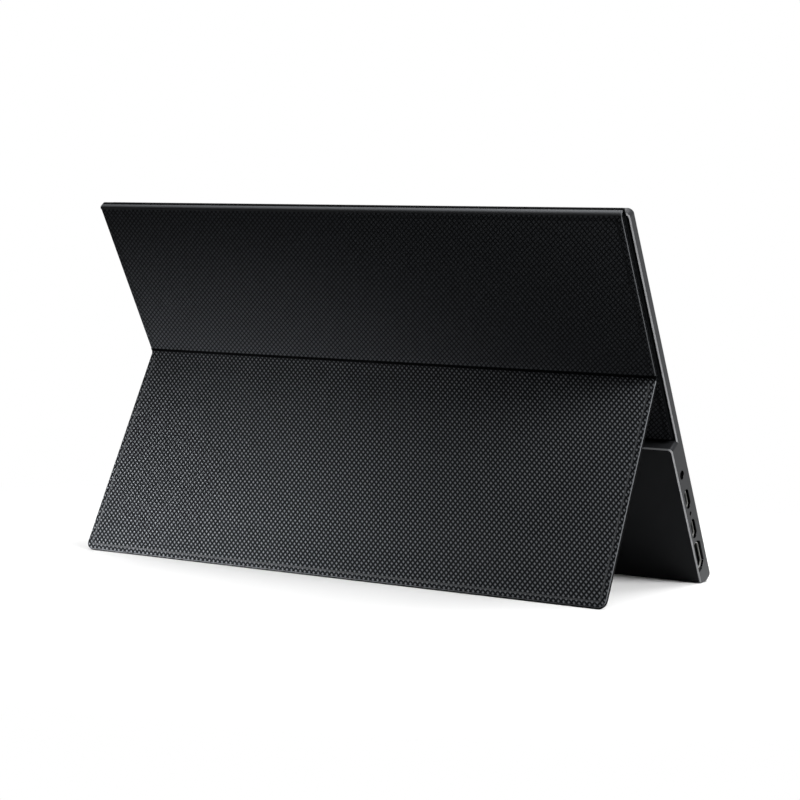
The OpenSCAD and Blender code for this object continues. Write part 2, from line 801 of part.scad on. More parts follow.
module upper_skin() {
    color(leather) at_fold(fold_3, 0) difference() {
        union() {
            panel_solid(panel_w, panel_w, cut, upper_len - cut, 0, front_y, rear_y);
            translate([0, 0, -upper_len]) rotate([180, 0, 0]) fold_bead(panel_w);
        }
        pocket(panel_w, panel_w, cut, upper_len - cut, front_y, panel_t - skin_t);
    }
}

module upper_board() {
    color([0.5, 0.45, 0.35]) at_fold(fold_3, 0)
        pocket(panel_w, panel_w, cut, upper_len - cut, rear_y - skin_t, -board_thick);
}

module upper_backing() {
    color([0.1, 0.1, 0.1]) at_fold(fold_3, 0)
        pocket(panel_w, panel_w, cut, upper_len - cut, front_y, panel_t - skin_t - board_thick);
}

// Soft web between the outer panel and the leg
module crease_web() {
    color(leather) at_fold(crease_1, 0) bar(panel_w) {
        translate([-fold_r, -web_len]) square([fold_t, web_len - cut]);
        translate([0, -web_len]) circle(fold_r);
    }
}

leg_magnet_x = [magnet_x[0], magnet_x[4]];
leg_magnet_z = -leg_len + pocket_margin + 6;

module leg_skin() {
    color(leather) at_fold(crease_2, leg_turn) difference() {
        panel_solid(panel_w, foot_w, cut, leg_len, leg_corner_r, front_y, rear_y);
        pocket(panel_w, foot_w, cut, leg_len, front_y, panel_t - skin_t);
    }
}

module leg_board() {
    color([0.5, 0.45, 0.35]) at_fold(crease_2, leg_turn) difference() {
        pocket(panel_w, foot_w, cut, leg_len, rear_y - skin_t, -board_thick);
        magnet_holes(leg_magnet_x, leg_magnet_z, front_y);
    }
}

module leg_magnets() {
    color(steel) at_fold(crease_2, leg_turn) intersection() {
        pocket(panel_w, foot_w, cut, leg_len, rear_y - skin_t, -board_thick);
        magnet_holes(leg_magnet_x, leg_magnet_z, front_y);
    }
}

module leg_backing() {
    color([0.1, 0.1, 0.1]) at_fold(crease_2, leg_turn)
        pocket(panel_w, foot_w, cut, leg_len, front_y, panel_t - skin_t - board_thick);
}

rear_housing();
front_bezel();
lcd_cell();
optical_films();
light_guide();
reflector();
panel_frame();
led_bar();
panel_tape();
driver_board();
panel_cable();
main_board();
board_chips();
board_screws();
headphone_jack();
usb_c_upper();
usb_c_lower();
hdmi_port();
light_pipe();
speaker_left();
speaker_right();
button_board();
power_button();
wheel_carrier();
menu_wheel();
housing_magnets();
chin_magnets();
foot_strip();
back_skin();
back_board();
back_magnets();
back_backing();
spine_lower();
spine_upper();
upper_skin();
upper_board();
upper_backing();
crease_web();
leg_skin();
leg_board();
leg_magnets();
leg_backing();
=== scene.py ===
"""A portable monitor on its folding cover: leather, soft folds, port contacts, looks, light and camera."""

import json
import math

import bmesh
import bpy
from mathutils import Matrix, Vector


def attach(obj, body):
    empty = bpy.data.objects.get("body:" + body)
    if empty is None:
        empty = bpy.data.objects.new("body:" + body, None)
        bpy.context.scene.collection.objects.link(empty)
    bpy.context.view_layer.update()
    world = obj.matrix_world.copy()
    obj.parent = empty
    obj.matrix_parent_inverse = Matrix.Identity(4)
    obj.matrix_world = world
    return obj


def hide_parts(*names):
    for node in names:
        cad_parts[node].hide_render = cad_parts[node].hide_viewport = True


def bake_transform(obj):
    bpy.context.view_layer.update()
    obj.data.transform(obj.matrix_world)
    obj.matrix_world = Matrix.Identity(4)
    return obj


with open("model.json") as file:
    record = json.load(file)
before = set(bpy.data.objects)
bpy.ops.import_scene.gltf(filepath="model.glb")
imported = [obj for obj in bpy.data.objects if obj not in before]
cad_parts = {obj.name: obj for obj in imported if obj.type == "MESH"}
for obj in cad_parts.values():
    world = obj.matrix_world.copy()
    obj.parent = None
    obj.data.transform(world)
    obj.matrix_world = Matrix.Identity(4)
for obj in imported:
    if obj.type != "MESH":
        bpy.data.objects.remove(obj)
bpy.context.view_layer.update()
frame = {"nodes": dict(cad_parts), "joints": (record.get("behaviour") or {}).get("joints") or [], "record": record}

MM = 0.001
NODES = frame["nodes"]
JOINT_AT = {j["name"]: Vector(j["pos_m"]) for j in frame["joints"] if "pos_m" in j}

# The cover in millimetres and degrees, as in the part's source
TILT = 32.3            # the monitor leans back by this angle
LEG_LEAN = 26.6        # the leg leans forward at its top by this angle
PANEL_T = 2.2
FOLD_T = 1.0
AXIS_IN = 0.4          # depth of a fold axis under a panel's rear face
BACK_IN = 0.5          # the back panel's front lies this far in front of its axis
FOLD_CUT = 0.65        # a panel begins this far from its fold axis
CREASE_CUT = 0.35      # and this far from the fold axes of the crease
PANEL_W = 297.0
BACK_W = 297.0
FOOT_W = 299.4
BACK_LEN = 124.52
UPPER_LEN = 88.6
LEG_LEN = 115.395
WEB_LEN = 1.4
EDGE_R = 0.6
CREASE_R = 0.3
BACK_CORNER_R = 1.0
FOOT_CORNER_R = 4.0
HEM_IN = 2.6           # the pressed hem line begins this far inside a panel's border
HEM_STEPS = ((0.3, -0.09), (0.2, 0), (0.3, 0.09))   # width and depth of the line's two slopes and its floor
HEM_END = HEM_IN + sum(step[0] for step in HEM_STEPS)
LINING_BORDER = 5      # leather left bare beside a lining
LINING_PROUD = 0.12
LINING_SUNK = 0.1
LINING_EDGE_R = 0.06
FOLD_EDGE_R = 0.2
SPINE_LAP = 1.2        # a spine strip runs this far onto its panel, and turns from half of that on
SPINE_BEND_R = 1.2
CREASE_LAP = 0.9       # a crease strip runs this far onto the panel
CREASE_TURN = 0.5      # and turns with the joint from here on
CREASE_BEND_R = 0.5
FOLD_1 = Vector((0, 5.5, 208.42))
FOLD_2 = Vector((0, 5.709, 211.413))
FOLD_3 = Vector((0, 9.55, 210.95))

# The lattice of dots, measured in the photograph through the fitted camera
DOT_ACROSS = 2.62
DOT_ROW = 3.05
UPPER_SLANT = -0.28    # sideways lean of the columns of dots on the upper panels, and on the leg
LEG_SLANT = 0.29

# How a face of leather is finished, as its attribute "rim" says. Under 0.5 it has dots, and over 0.5 it carries a
# painted highlight.
CLEAR_DOTS = 0
UPPER_DOTS = 0.2        # above the crease: lighter in tone, with a weaker painted highlight on the dots; these tones are a guess from the photograph's
PLAIN = 0.5
# From here on a face is plain and carries a painted highlight, weak on the hem slopes and full on the rounded
# edges
UPPER_HEM = 0.65
LEG_HEM = 0.75
HIGHLIT_FOLD = 0.8
HIGHLIT_EDGE = 1

# How the faces and edges of a panel are told apart
MOSTLY_ALONG = 0.9     # part of a direction that lies along an axis
NEAR_END = 0.9         # share of a panel's length past which a point is at its end
SQUARE = 1.2           # an edge bends by more than this angle in radians
WIDE_FACE = 0.97       # least part of a wide face's normal along the panel's depth
ROUNDED_REAR = (0.35, 0.85)   # the same for the rounding between the rear face and a side
ROUNDING = EDGE_R * 1.3       # the rounding reaches this far in

# Ports: height on the monitor and depth from the screen face
PORT_X = -149.0
PORT_DEPTH = 7.2
USB_HEIGHTS = {"upper": 49.0, "lower": 30.8}
HDMI_HEIGHT = 14.4
CONTACT_END = 1.0      # plastic of a tongue beyond its row of contacts, both ends together
CONTACT_HALF = 0.28    # half a contact's width as a share of their spacing
CONTACT_PROUD = 0.04
CONTACT_BACK = 0.5     # a contact begins this far behind the tongue's tip
CONTACT_STOP = 1       # and ends this far before its root
TONGUE_EDGE_R = 0.2

# Where painted shade colours the metal black, on the walls of the port openings
OPENING_LIP = 0.85     # begins this far outside PORT_X
OPENING_IN = 12
OPENING_DEPTH = 3.6    # to each side of PORT_DEPTH
OPENING_HEIGHTS = (6, 68)
SHELL_BRIGHT = 0.35    # a port's shell is bright this far in from PORT_X
SHELL_SHADED = 0.7       # and has painted shade from here on

LEAN = Matrix.Rotation(math.radians(-TILT), 4, "X")
REARWARD = LEAN.to_3x3() @ Vector((0, 1, 0))
UPWARD = LEAN.to_3x3() @ Vector((0, 0, 1))
MONITOR = Matrix.Translation(JOINT_AT["spine_fold_low"] - LEAN @ (FOLD_1 * MM)) @ LEAN
BACK_PANEL = Matrix.Translation(JOINT_AT["spine_fold_low"]) @ LEAN
OUTER_PANEL = Matrix.Translation(JOINT_AT["cover_fold"]) @ LEAN
LEG_PANEL = Matrix.Translation(JOINT_AT["crease_low"]) @ Matrix.Rotation(math.radians(LEG_LEAN), 4, "X")


# ---------------------------------------------------------------- modelling helpers

def start(name, place):
    """Names the primitive just added and gives it its place."""
    piece = bpy.context.object
    piece.name = name
    piece.data.name = name
    piece.matrix_world = place
    return piece


def clear_selection():
    for other in bpy.context.selected_objects:
        other.select_set(False)


def choose(piece, kind, test):
    """In edit mode, selects the faces or edges of a piece for which test is true, and nothing else."""
    mesh = bmesh.from_edit_mesh(piece.data)
    for part in (*mesh.faces, *mesh.edges, *mesh.verts):
        part.select = False
    for part in getattr(mesh, kind):
        if test(part):
            part.select_set(True)
    bmesh.update_edit_mesh(piece.data)


def middle(edge):
    return (edge.verts[0].co + edge.verts[1].co) / 2


def along(edge):
    return (edge.verts[1].co - edge.verts[0].co).normalized()


def settle(piece):
    """Applies every modifier and moves the piece's place into its mesh."""
    clear_selection()
    bpy.context.view_layer.objects.active = piece
    piece.select_set(True)
    for modifier in list(piece.modifiers):
        bpy.ops.object.modifier_apply(modifier=modifier.name)
    bpy.ops.object.transform_apply(location=True, rotation=True, scale=True)
    clear_selection()
    return piece


def smooth(piece, degrees=35):
    clear_selection()
    bpy.context.view_layer.objects.active = piece
    piece.select_set(True)
    bpy.ops.object.shade_smooth_by_angle(angle=math.radians(degrees))
    clear_selection()


def box(name, place, low, high):
    """A box primitive between two corners in millimetres, in the frame of place."""
    clear_selection()
    low, high = Vector(low) * MM, Vector(high) * MM
    bpy.ops.mesh.primitive_cube_add(size=1, location=(low + high) / 2, scale=high - low)
    bpy.ops.object.transform_apply(location=True, rotation=False, scale=True)
    return start(name, place)


def lay_pattern(piece, place_of, slant):
    """Gives the piece a UV map in metres, across and up the leather. place_of(point) says where a point
    lies on it. The columns of dots lean sideways by the slant as they go down."""
    layer = piece.data.uv_layers.active or piece.data.uv_layers.new(name="leather")
    layer.name = "leather"
    for loop in piece.data.loops:
        across, up = place_of(piece.data.vertices[loop.vertex_index].co)
        layer.data[loop.index].uv = (across - slant * up, up)


# ---------------------------------------------------------------- leather cover

def round_low_corners(piece, low, corner_r):
    choose(piece, "edges",
           lambda e: abs(along(e).y) > MOSTLY_ALONG and middle(e).z < -low * MM * NEAR_END)
    bpy.ops.mesh.bevel(offset=corner_r * MM, segments=8, affect="EDGES")


def press_hem(piece):
    """The two wide faces get a shallow pressed line inside their borders."""
    choose(piece, "faces", lambda f: abs(f.normal.y) > MOSTLY_ALONG)
    bpy.ops.mesh.inset(thickness=HEM_IN * MM, depth=0)
    for thickness, depth in HEM_STEPS:
        bpy.ops.mesh.inset(thickness=thickness * MM, depth=depth * MM)


def leather_panel(name, place, top_w, low_w, top, low, corner_r, front, back, slant, run=0, sharp_end=None,
                  wear_and_sheen=True, dots=UPPER_DOTS):
    """A stiff panel wrapped in leather: soft edges and a pressed hem line along its border. run is the height of
    the panel's axis on the leather's pattern, sharp_end is the height of an end that meets the crease,
    wear_and_sheen says that the rounded edges get a painted highlight, and dots is the finish of the wide faces."""
    piece = box(name, place, (-top_w / 2, front, -low), (top_w / 2, back, -top))
    bpy.ops.object.mode_set(mode="EDIT")
    spread = low_w / top_w
    mesh = bmesh.from_edit_mesh(piece.data)
    for vert in mesh.verts:
        if vert.co.z < -low * MM * NEAR_END:
            vert.co.x *= spread
    bmesh.update_edit_mesh(piece.data)
    if corner_r > HEM_END:
        round_low_corners(piece, low, corner_r)
        press_hem(piece)
    else:
        press_hem(piece)
        if corner_r:
            round_low_corners(piece, low, corner_r)

    def at_crease(edge):
        return sharp_end is not None and abs(middle(edge).z - sharp_end * MM) < 1e-5
    choose(piece, "edges", lambda e: e.calc_face_angle(0) > SQUARE and not at_crease(e))
    bpy.ops.mesh.bevel(offset=EDGE_R * MM, segments=4, affect="EDGES")
    if sharp_end is not None:
        choose(piece, "edges", lambda e: e.calc_face_angle(0) > SQUARE and at_crease(e))
        bpy.ops.mesh.bevel(offset=CREASE_R * MM, segments=3, affect="EDGES")
    bpy.ops.object.mode_set(mode="OBJECT")
    mark_rim(piece, top_w, low_w, top, low, wear_and_sheen, dots)
    settle(piece)
    inverse = place.inverted()
    lay_pattern(piece, lambda co: ((inverse @ co).x, (inverse @ co).z + run * MM), slant)
    smooth(piece)
    return piece


def set_rim(piece, values):
    """Notes on each face how its leather is finished."""
    rim = piece.data.attributes.new("rim", "FLOAT", "FACE")
    for entry, value in zip(rim.data, values):
        entry.value = value


def mark_rim(piece, top_w, low_w, top, low, wear_and_sheen, dots):
    """The sides of a panel are plain. The rounding between its rear face and its long sides and foot carries a
    painted highlight, and so, more weakly, do the slopes of the hem line, away from the folds."""
    values = []
    on_leg = dots == CLEAR_DOTS
    for face in piece.data.polygons:
        x, z = abs(face.center.x) / MM, -face.center.z / MM
        half = (top_w + (low_w - top_w) * (z - top) / (low - top)) / 2
        at_border = x > half - ROUNDING or z > low - ROUNDING or z < top + ROUNDING
        flat = abs(face.normal.y) > WIDE_FACE
        # A painted highlight on the rounding from the rear face to the sides and foot
        highlit = wear_and_sheen and ROUNDED_REAR[0] < face.normal.y < ROUNDED_REAR[1] and z > top + EDGE_R
        hem = z > top + 2 * HEM_END and (on_leg or z < low - 2 * HEM_END)
        if at_border and not flat:
            values.append(HIGHLIT_EDGE if highlit else PLAIN)
        elif hem and not flat:
            values.append(LEG_HEM if on_leg else UPPER_HEM)
        else:
            values.append(dots)
    set_rim(piece, values)


def lining(name, place, top, low, corner_r, face, cloth):
    """A thin sheet of microfibre glued on the inner face of a panel."""
    half = PANEL_W / 2 - LINING_BORDER
    piece = box(name, place, (-half, face - LINING_PROUD, -low), (half, face + LINING_SUNK, -top))
    bpy.ops.object.mode_set(mode="EDIT")
    choose(piece, "edges", lambda e: abs(along(e).y) > MOSTLY_ALONG)
    bpy.ops.mesh.bevel(offset=corner_r * MM, segments=6, affect="EDGES")
    choose(piece, "edges", lambda e: e.calc_face_angle(0) > SQUARE)
    bpy.ops.mesh.bevel(offset=LINING_EDGE_R * MM, segments=2, affect="EDGES")
    bpy.ops.object.mode_set(mode="OBJECT")
    settle(piece)
    smooth(piece)
    piece.data.materials.append(cloth)
    return piece


def bend_path(points, radius, steps=6):
    """The points of a path with each inner corner rounded."""
    path = [points[0]]
    for before, corner, after in zip(points, points[1:], points[2:]):
        into = (before - corner)
        out = (after - corner)
        reach = min(radius, into.length * 0.48, out.length * 0.48)
        a = corner + into.normalized() * reach
        b = corner + out.normalized() * reach
        for i in range(steps + 1):
            t = i / steps
            path.append(a * (1 - t) ** 2 + corner * 2 * t * (1 - t) + b * t ** 2)
    path.append(points[-1])
    return path


def fold_strip(name, path, run, slant, finish, leather):
    """A strip of leather along a path of points in millimetres, extruded edge by edge and given its
    thickness. run is the height on the leather's pattern at which the path begins, and finish is its value
    of the rim."""
    clear_selection()
    bpy.ops.mesh.primitive_plane_add(size=1)
    piece = start(name, MONITOR)
    bpy.ops.object.mode_set(mode="EDIT")
    mesh = bmesh.from_edit_mesh(piece.data)
    first, second = path[0] * MM, path[1] * MM
    for vert in mesh.verts:
        side = Vector((math.copysign(PANEL_W / 2 * MM, vert.co.x), 0, 0))
        vert.co = side + (first if vert.co.y < 0 else second)
    bmesh.update_edit_mesh(piece.data)
    choose(piece, "edges", lambda e: (middle(e) - second).length < 1e-6)
    for here, following in zip(path[1:], path[2:]):
        bpy.ops.mesh.extrude_region_move(TRANSFORM_OT_translate={
            "value": MONITOR.to_3x3() @ ((following - here) * MM)})
    bpy.ops.mesh.select_all(action="SELECT")
    bpy.ops.mesh.normals_make_consistent(inside=False)
    bpy.ops.object.mode_set(mode="OBJECT")
    heights = [run * MM]
    for here, following in zip(path, path[1:]):
        heights.append(heights[-1] - (following - here).length * MM)

    def height_at(co):
        return min(zip(path, heights), key=lambda step: (Vector((0, co.y, co.z)) - step[0] * MM).length)[1]
    lay_pattern(piece, lambda co: (co.x, height_at(co)), slant)
    wall = piece.modifiers.new("wall", "SOLIDIFY")
    wall.thickness = FOLD_T * MM
    wall.offset = 0
    edge = piece.modifiers.new("edge", "BEVEL")
    edge.width = FOLD_EDGE_R * MM
    edge.segments = 2
    edge.limit_method = "ANGLE"
    edge.angle_limit = math.radians(60)
    settle(piece)
    set_rim(piece, [finish] * len(piece.data.polygons))
    smooth(piece, 50)
    piece.data.materials.append(leather)
    return piece


def cover_panels(leather, microfibre):
    back = leather_panel("back_panel_leather", BACK_PANEL, BACK_W, BACK_W, FOLD_CUT, BACK_LEN, BACK_CORNER_R,
                         -BACK_IN, PANEL_T - BACK_IN, UPPER_SLANT, wear_and_sheen=False)
    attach(back, "monitor")
    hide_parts("back_skin", "back_backing")
    front = AXIS_IN - PANEL_T
    upper_low = UPPER_LEN - CREASE_CUT
    outer = leather_panel("outer_panel_leather", OUTER_PANEL, PANEL_W, PANEL_W, FOLD_CUT, upper_low, 0,
                          front, AXIS_IN, UPPER_SLANT, run=UPPER_LEN, sharp_end=-upper_low)
    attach(outer, "outer_panel")
    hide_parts("upper_skin")
    leg = leather_panel("leg_leather", LEG_PANEL, PANEL_W, FOOT_W, CREASE_CUT, LEG_LEN, FOOT_CORNER_R,
                        front, AXIS_IN, LEG_SLANT, sharp_end=-CREASE_CUT, dots=CLEAR_DOTS)
    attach(leg, "leg")
    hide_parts("leg_skin")
    for piece in (back, outer, leg):
        piece.data.materials.append(leather)
    outer_lining = lining("outer_panel_lining", OUTER_PANEL, top=5, low=UPPER_LEN - 4, corner_r=2,
                          face=front, cloth=microfibre)
    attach(outer_lining, "outer_panel")
    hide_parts("upper_backing")
    leg_lining = lining("leg_lining", LEG_PANEL, top=4, low=LEG_LEN - 5, corner_r=3,
                        face=front, cloth=microfibre)
    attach(leg_lining, "leg")
    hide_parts("leg_backing")


def spine_folds(leather):
    """Three strips over the top, which meet halfway up the spine and halfway across it."""
    low = (FOLD_1 + FOLD_2) / 2
    high = (FOLD_2 + FOLD_3) / 2
    lap = Vector((0, 0, -1)) * SPINE_LAP
    strips = (
        ("spine_low_leather", [FOLD_1 + lap, FOLD_1, low], "monitor", "spine_low",
         FOLD_1 + lap / 2, low, PLAIN),
        ("spine_high_leather", [low, FOLD_2, high], "spine_low", "spine_high",
         low, high, PLAIN),
        # The cover's fold carries a painted highlight along its rounding
        ("cover_fold_leather", [high, FOLD_3, FOLD_3 + lap], "spine_high", "outer_panel",
         high, FOLD_3 + lap / 2, HIGHLIT_FOLD))
    for name, points, below, above, begin, end, finish in strips:
        strip = fold_strip(name, bend_path(points, SPINE_BEND_R), 0, UPPER_SLANT, finish, leather)
        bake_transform(strip)
        if above == "spine_low":
            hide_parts("spine_lower")
        if above == "spine_high":
            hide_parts("spine_upper")


def crease_folds(leather):
    """Two strips in the crease, which meet in the middle of its web."""
    first = FOLD_3 - Vector((0, 0, UPPER_LEN))
    second = first - Vector((0, 0, WEB_LEN))
    half = (first + second) / 2
    up = Vector((0, 0, 1))
    out = Matrix.Rotation(math.radians(TILT + LEG_LEAN), 3, "X") @ Vector((0, 0, -1))
    strips = (
        ("crease_high_leather", [first + up * CREASE_LAP, first, half], "outer_panel", "crease",
         first + up * CREASE_TURN, half, UPPER_SLANT, PLAIN),
        ("crease_low_leather", [half, second, second + out * CREASE_LAP], "crease", "leg",
         half, second + out * CREASE_TURN, LEG_SLANT, CLEAR_DOTS))
    for name, points, above, below, begin, end, slant, finish in strips:
        strip = fold_strip(name, bend_path(points, CREASE_BEND_R), WEB_LEN / 2, slant, finish, leather)
        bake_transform(strip)
        if below == "crease":
            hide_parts("crease_web")


# ---------------------------------------------------------------- port contacts

def port_tongue(name, height, length, thick, inset, reach, pins, plastic, gold):
    """The plastic tongue of a port, with a row of gold contacts on each side, made once and copied."""
    tongue = box(name, MONITOR, (PORT_X + inset, PORT_DEPTH - thick / 2, height - length / 2),
                 (PORT_X + reach, PORT_DEPTH + thick / 2, height + length / 2))
    bpy.ops.object.mode_set(mode="EDIT")
    choose(tongue, "edges", lambda e: middle(e).x < (PORT_X + inset + 0.1) * MM)
    bpy.ops.mesh.bevel(offset=TONGUE_EDGE_R * MM, segments=2, affect="EDGES")
    bpy.ops.object.mode_set(mode="OBJECT")
    settle(tongue)
    tongue.data.materials.append(plastic)
    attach(tongue, "monitor")
    pitch = (length - CONTACT_END) / pins
    lowest = height - (pins - 1) / 2 * pitch
    face = PORT_DEPTH - thick / 2
    contact = box("contact", MONITOR,
                  (PORT_X + inset + CONTACT_BACK, face - CONTACT_PROUD, lowest - pitch * CONTACT_HALF),
                  (PORT_X + reach - CONTACT_STOP, face + CONTACT_PROUD, lowest + pitch * CONTACT_HALF))
    contacts = [contact]
    for across, pin in [(side * thick, i) for side in (0, 1) for i in range(pins)][1:]:
        copied = contact.copy()
        copied.data = contact.data.copy()
        copied.matrix_world = MONITOR @ Matrix.Translation(Vector((0, across, pin * pitch)) * MM)
        bpy.context.collection.objects.link(copied)
        contacts.append(copied)
    clear_selection()
    for contact in contacts:
        contact.select_set(True)
    bpy.context.view_layer.objects.active = contacts[0]
    bpy.ops.object.join()
    row = settle(bpy.context.object)
    row.name = name.replace("tongue", "contacts")
    row.data.materials.append(gold)
    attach(row, "monitor")


def port_contacts(plastic, gold):
    for side, height in USB_HEIGHTS.items():
        port_tongue("usb_tongue_" + side, height, length=6.8, thick=0.8, inset=0.9, reach=6.4, pins=12,
                    plastic=plastic, gold=gold)
    port_tongue("hdmi_tongue", HDMI_HEIGHT, length=11.6, thick=1.35, inset=1.4, reach=9.0, pins=10,
                plastic=plastic, gold=gold)


# ---------------------------------------------------------------- materials

MATH = "ShaderNodeMath"
VECTORS = "ShaderNodeVectorMath"
SPLIT = "ShaderNodeSeparateXYZ"
POSITION = "ShaderNodeTexCoord"
NOISE = "ShaderNodeTexNoise"
MIX = "ShaderNodeMix"
RANGE = "ShaderNodeMapRange"
BUMP = "ShaderNodeBump"


def linear(hex_colour):
    """The linear RGBA of an sRGB hex value."""
    parts = [int(hex_colour[i:i + 2], 16) / 255 for i in (1, 3, 5)]
    return (*(c / 12.92 if c <= 0.04045 else ((c + 0.055) / 1.055) ** 2.4 for c in parts), 1)


def new_material(name, colour, rough, metallic=0.0, **sockets):
    material = bpy.data.materials.new(name)
    material.use_nodes = True
    shader = material.node_tree.nodes["Principled BSDF"]
    shader.inputs["Base Color"].default_value = linear(colour)
    shader.inputs["Roughness"].default_value = rough
    shader.inputs["Metallic"].default_value = metallic
    for socket, value in sockets.items():
        shader.inputs[socket.replace("_", " ")].default_value = value
    material.diffuse_color = linear(colour)
    return material, material.node_tree, shader


def add(tree, kind, inputs=None, output=0, **settings):
    """Adds a node with its settings. Its inputs, by name or number, are set to a value or joined to another
    node's output. Gives back one of its outputs, or the node if it has none."""
    node = tree.nodes.new(kind)
    for key, value in settings.items():
        setattr(node, key, value)
    for key, value in (inputs or {}).items():
        if isinstance(value, bpy.types.NodeSocket):
            tree.links.new(value, node.inputs[key])
        else:
            node.inputs[key].default_value = value
    return node.outputs[output] if node.outputs else node


def embossed_leather():
    """Polyurethane leather, embossed: near black and semi-matt, with a lattice of small raised diamonds whose tops
    carry a painted highlight, in patches. Above the crease the leather is lighter in tone and the painted
    highlight is weaker. The turned edges and the folds are plain, with a painted highlight on their rounding."""
    material, tree, shader = new_material("embossed_polyurethane_leather", "#08090a", 0.55,
                                          Specular_IOR_Level=0.01)
    uv = add(tree, "ShaderNodeUVMap", uv_map="leather")
    columns = add(tree, MATH, {0: add(tree, SPLIT, {0: uv}, "X"), 1: DOT_ACROSS * MM}, operation="DIVIDE")
    rows = add(tree, MATH, {0: add(tree, SPLIT, {0: uv}, "Y"), 1: DOT_ROW * MM}, operation="DIVIDE")
    # Two lattices of diamonds, one between the other's, each 0 at a diamond's middle and 1 at its edge
    diamonds = []
    for shift in (1000.0, 1000.5):
        ways = []
        for count in (columns, rows):
            moved = add(tree, MATH, {0: count, 1: shift}, operation="ADD")
            within = add(tree, MATH, {0: moved}, operation="FRACT")
            aside = add(tree, MATH, {0: within, 1: 0.5}, operation="SUBTRACT")
            ways.append(add(tree, MATH, {0: aside}, operation="ABSOLUTE"))
        both = add(tree, MATH, {0: ways[0], 1: ways[1]}, operation="ADD")
        diamonds.append(add(tree, MATH, {0: both, 1: 2.0}, operation="MULTIPLY"))
    outward = add(tree, MATH, {0: diamonds[0], 1: diamonds[1]}, operation="MINIMUM")
    # The finish of the face: how far it has dots, how far it takes the tones above the crease, and how far it
    # carries a painted highlight
    rim = add(tree, "ShaderNodeAttribute", output="Fac", attribute_name="rim")
    doubled = add(tree, MATH, {0: rim, 1: 2.0}, operation="MULTIPLY")
    covered = add(tree, MATH, {0: doubled, 1: 1.0}, operation="MINIMUM")
    dotted = add(tree, MATH, {0: 1.0, 1: covered}, operation="SUBTRACT")
    past_plain = add(tree, MATH, {0: rim, 1: 2.0, 2: -1.0}, operation="MULTIPLY_ADD")
    highlit = add(tree, MATH, {0: past_plain, 1: 0.0}, operation="MAXIMUM")
    from_upper_dots = add(tree, MATH, {0: rim, 1: UPPER_DOTS}, operation="SUBTRACT")
    off_upper_dots = add(tree, MATH, {0: from_upper_dots}, operation="ABSOLUTE")
    near_upper_dots = add(tree, MATH, {0: off_upper_dots, 1: -1 / UPPER_DOTS, 2: 1.0}, operation="MULTIPLY_ADD")
    upper_tone = add(tree, MATH, {0: near_upper_dots, 1: 0.0}, operation="MAXIMUM")
    # The leather's own grain, and broad patches of wear, which also vary the painted highlight on the dots
    where = add(tree, POSITION, output="Object")
    grain = add(tree, NOISE, {"Vector": where, "Scale": 1 / (0.9 * MM), "Detail": 4.0})
    wear_and_sheen = add(tree, NOISE, {"Vector": where, "Scale": 1 / (60 * MM), "Detail": 2.0})
    cell = add(tree, RANGE, {"Value": outward, "From Min": 1.0, "From Max": 0.45},
               interpolation_type="SMOOTHSTEP")
    top = add(tree, RANGE, {"Value": outward, "From Min": 0.6, "From Max": 0.1},
              interpolation_type="SMOOTHSTEP")
    dome = add(tree, MATH, {0: cell, 1: dotted}, operation="MULTIPLY")
    # Colour: the ground between the dots, the dots, a painted highlight on their tops and a painted highlight on
    # the rounded edges
    # Above the crease the ground and the dots take lighter tones
    valley = add(tree, MIX, {"Factor": upper_tone, "A": linear("#08090a"), "B": linear("#1c1d1f")}, "Result",
                 data_type="RGBA")
    plateau = add(tree, MIX, {"Factor": upper_tone, "A": linear("#3c3e41"), "B": linear("#7a7d82")}, "Result",
                  data_type="RGBA")
    body = add(tree, MIX, {"Factor": dome, "A": valley, "B": plateau}, "Result", data_type="RGBA")
    patchy = add(tree, MATH, {0: wear_and_sheen, 1: 0.4, 2: 0.8}, operation="MULTIPLY_ADD")
    # Painted highlight: the middles of the diamonds are coloured light, in patches, and weaker above the crease
    patchy_highlight = add(tree, MATH, {0: top, 1: patchy}, operation="MULTIPLY")
    weaker_above_crease = add(tree, MATH, {0: upper_tone, 1: -0.75, 2: 1.0}, operation="MULTIPLY_ADD")
    raised = add(tree, MATH, {0: dotted, 1: weaker_above_crease}, operation="MULTIPLY")
    painted_top_highlight = add(tree, MATH, {0: patchy_highlight, 1: raised}, operation="MULTIPLY")
    tone = add(tree, MIX, {"Factor": painted_top_highlight, "A": body, "B": linear("#84878b")}, "Result",
               data_type="RGBA")
    # Painted highlight on the rounded edges, the cover's fold and the hem slopes
    colour = add(tree, MIX, {"Factor": highlit, "A": tone, "B": linear("#77797c")}, "Result",
                 data_type="RGBA")
    tree.links.new(colour, shader.inputs["Base Color"])
    ground_rough = add(tree, MATH, {0: wear_and_sheen, 1: 0.1, 2: 0.52}, operation="MULTIPLY_ADD")
    rough = add(tree, MATH, {0: dome, 1: -0.1, 2: ground_rough}, operation="MULTIPLY_ADD")
    tree.links.new(rough, shader.inputs["Roughness"])
    height = add(tree, MATH, {0: grain, 1: 0.08, 2: dome}, operation="MULTIPLY_ADD")
    bump = add(tree, BUMP, {"Height": height, "Strength": 0.8, "Distance": 0.22 * MM})
    tree.links.new(bump, shader.inputs["Normal"])
    return material


